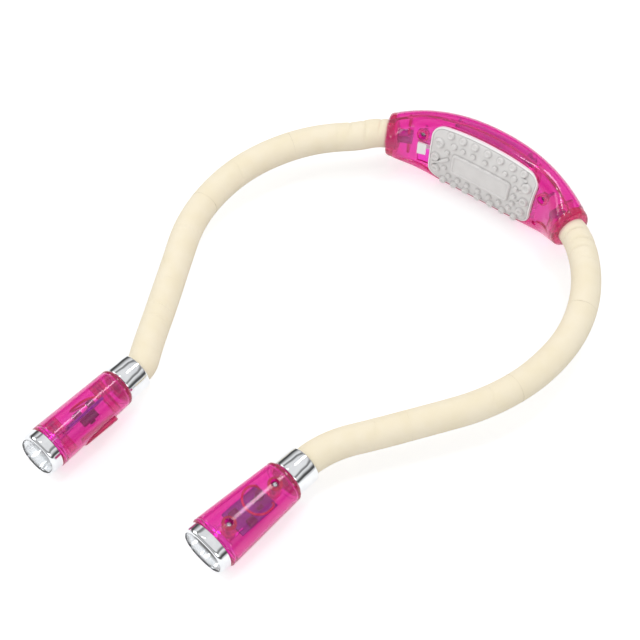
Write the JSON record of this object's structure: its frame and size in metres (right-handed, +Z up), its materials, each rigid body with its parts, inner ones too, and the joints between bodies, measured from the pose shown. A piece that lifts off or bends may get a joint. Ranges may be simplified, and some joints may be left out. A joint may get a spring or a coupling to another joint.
{
  "type": "neck reading light",
  "caption": "Neck reading light: curved battery housing with a soft neck pad, bendable foam covered arms and slim lamp heads.",
  "frame": {"origin": "below the middle of the light's box, on the surface that it lies on", "axes": "+Z up, heads towards -Y, housing towards +Y"},
  "size_m": [0.239, 0.3218, 0.0471],
  "materials": {
    "clear_magenta_plastic": "clear, glossy",
    "chrome": "polished",
    "cream_foam": "matt closed-cell foam",
    "soft_grey_pad": "satin",
    "white_plastic": "satin",
    "gooseneck_metal": "satin",
    "screw_steel": "bright",
    "cell_jacket": "gloss",
    "spring_steel": "bright",
    "clear_lens": "clear",
    "led_epoxy": "clear, glossy",
    "board_resin": "satin",
    "switch_black": "satin",
    "red_wire": "satin"
  },
  "bodies": {
    "housing": {"housing_back_shell": "clear_magenta_plastic", "housing_face_shell": "clear_magenta_plastic", "housing_screw_1": "screw_steel", "housing_screw_2": "screw_steel", "battery_1": "cell_jacket", "battery_2": "cell_jacket", "battery_3": "cell_jacket", "battery_4": "cell_jacket", "battery_contact_left": "spring_steel", "battery_contact_right": "spring_steel", "left_arm_core_housing_end": "gooseneck_metal", "left_arm_foam_housing_end": "cream_foam", "right_arm_core_housing_end": "gooseneck_metal", "right_arm_foam_housing_end": "cream_foam"},
    "door": {"battery_door": "white_plastic", "neck_pad": "soft_grey_pad"},
    "latch": {"door_latch": "white_plastic"},
    "left_arm_rear": {"left_arm_core_rear": "gooseneck_metal", "left_arm_foam_rear": "cream_foam"},
    "left_arm_middle": {"left_arm_core_middle": "gooseneck_metal", "left_arm_foam_middle": "cream_foam"},
    "left_arm_front": {"left_arm_core_front": "gooseneck_metal", "left_arm_foam_front": "cream_foam"},
    "left_head": {"left_arm_core_head_end": "gooseneck_metal", "left_arm_foam_head_end": "cream_foam", "left_head_collar": "chrome", "left_head_screw_side_shell": "clear_magenta_plastic", "left_head_button_side_shell": "clear_magenta_plastic", "left_head_bezel": "chrome", "left_head_lens": "clear_lens", "left_head_led_1": "led_epoxy", "left_head_led_2": "led_epoxy", "left_head_board": "board_resin", "left_head_switch": "switch_black", "left_head_wire_red": "red_wire", "left_head_screw_front": "screw_steel", "left_head_screw_rear": "screw_steel"},
    "left_button": {"left_head_button": "clear_magenta_plastic"},
    "right_arm_rear": {"right_arm_core_rear": "gooseneck_metal", "right_arm_foam_rear": "cream_foam"},
    "right_arm_middle": {"right_arm_core_middle": "gooseneck_metal", "right_arm_foam_middle": "cream_foam"},
    "right_arm_front": {"right_arm_core_front": "gooseneck_metal", "right_arm_foam_front": "cream_foam"},
    "right_head": {"right_arm_core_head_end": "gooseneck_metal", "right_arm_foam_head_end": "cream_foam", "right_head_collar": "chrome", "right_head_screw_side_shell": "clear_magenta_plastic", "right_head_button_side_shell": "clear_magenta_plastic", "right_head_bezel": "chrome", "right_head_lens": "clear_lens", "right_head_led_1": "led_epoxy", "right_head_led_2": "led_epoxy", "right_head_board": "board_resin", "right_head_switch": "switch_black", "right_head_wire_red": "red_wire", "right_head_screw_front": "screw_steel", "right_head_screw_rear": "screw_steel"},
    "right_button": {"right_head_button": "clear_magenta_plastic"}
  },
  "joints": [
    {"name": "battery_door_swing", "type": "hinge", "parent": "housing", "child": "door", "pos_m": [0.0436, 0.13386, 0.0253], "axis": [0, 0.2079, 0.9781], "range_deg": [0, 70]},
    {"name": "door_latch_flex", "type": "hinge", "parent": "door", "child": "latch", "pos_m": [-0.0344, 0.13884, 0.02308], "axis": [-0.0574, 0.192, 0.9797], "range_deg": [0, 8], "stiffness_Nm_per_rad": 0.05},
    {"name": "left_arm_swing_rear", "type": "hinge", "parent": "housing", "child": "left_arm_rear", "pos_m": [-0.07314, 0.11679, 0.02294], "axis": [0, 0, 1], "range_deg": [-25, 12], "deforming": ["left_arm_foam_rear", "left_arm_foam_housing_end"]},
    {"name": "left_arm_lift", "type": "hinge", "parent": "left_arm_rear", "child": "left_arm_middle", "pos_m": [-0.1087, 0.06044, 0.02112], "axis": [0.977, -0.213, 0], "range_deg": [-25, 25], "deforming": ["left_arm_foam_middle"]},
    {"name": "left_arm_swing_front", "type": "hinge", "parent": "left_arm_middle", "child": "left_arm_front", "pos_m": [-0.10218, -0.00315, 0.01939], "axis": [0, 0, 1], "range_deg": [-20, 20], "deforming": ["left_arm_foam_front"]},
    {"name": "left_arm_head_tilt", "type": "hinge", "parent": "left_arm_front", "child": "left_head", "pos_m": [-0.07855, -0.05829, 0.01778], "axis": [0.9245, 0.3811, 0], "range_deg": [-30, 30], "deforming": ["left_arm_foam_head_end"]},
    {"name": "left_head_button_press", "type": "slide", "parent": "left_head", "child": "left_button", "axis": [-0.8842, 0.1088, 0.4543], "range_m": [0, 0.0012], "stiffness_N_per_m": 800},
    {"name": "right_arm_swing_rear", "type": "hinge", "parent": "housing", "child": "right_arm_rear", "pos_m": [0.09001, 0.11714, 0.02288], "axis": [0, 0, 1], "range_deg": [-12, 25], "deforming": ["right_arm_foam_rear", "right_arm_foam_housing_end"]},
    {"name": "right_arm_lift", "type": "hinge", "parent": "right_arm_rear", "child": "right_arm_middle", "pos_m": [0.11097, 0.05412, 0.0209], "axis": [0.9985, -0.0541, 0], "range_deg": [-25, 25], "deforming": ["right_arm_foam_middle"]},
    {"name": "right_arm_swing_front", "type": "hinge", "parent": "right_arm_middle", "child": "right_arm_front", "pos_m": [0.08952, -0.00629, 0.01901], "axis": [0, 0, 1], "range_deg": [-20, 20], "deforming": ["right_arm_foam_front"]},
    {"name": "right_arm_head_tilt", "type": "hinge", "parent": "right_arm_front", "child": "right_head", "pos_m": [0.05316, -0.05402, 0.01726], "axis": [0.7815, -0.6239, 0], "range_deg": [-30, 30], "deforming": ["right_arm_foam_head_end"]},
    {"name": "right_head_button_press", "type": "slide", "parent": "right_head", "child": "right_button", "axis": [0.1681, -0.0485, 0.9846], "range_m": [0, 0.0012], "stiffness_N_per_m": 800}
  ]
}
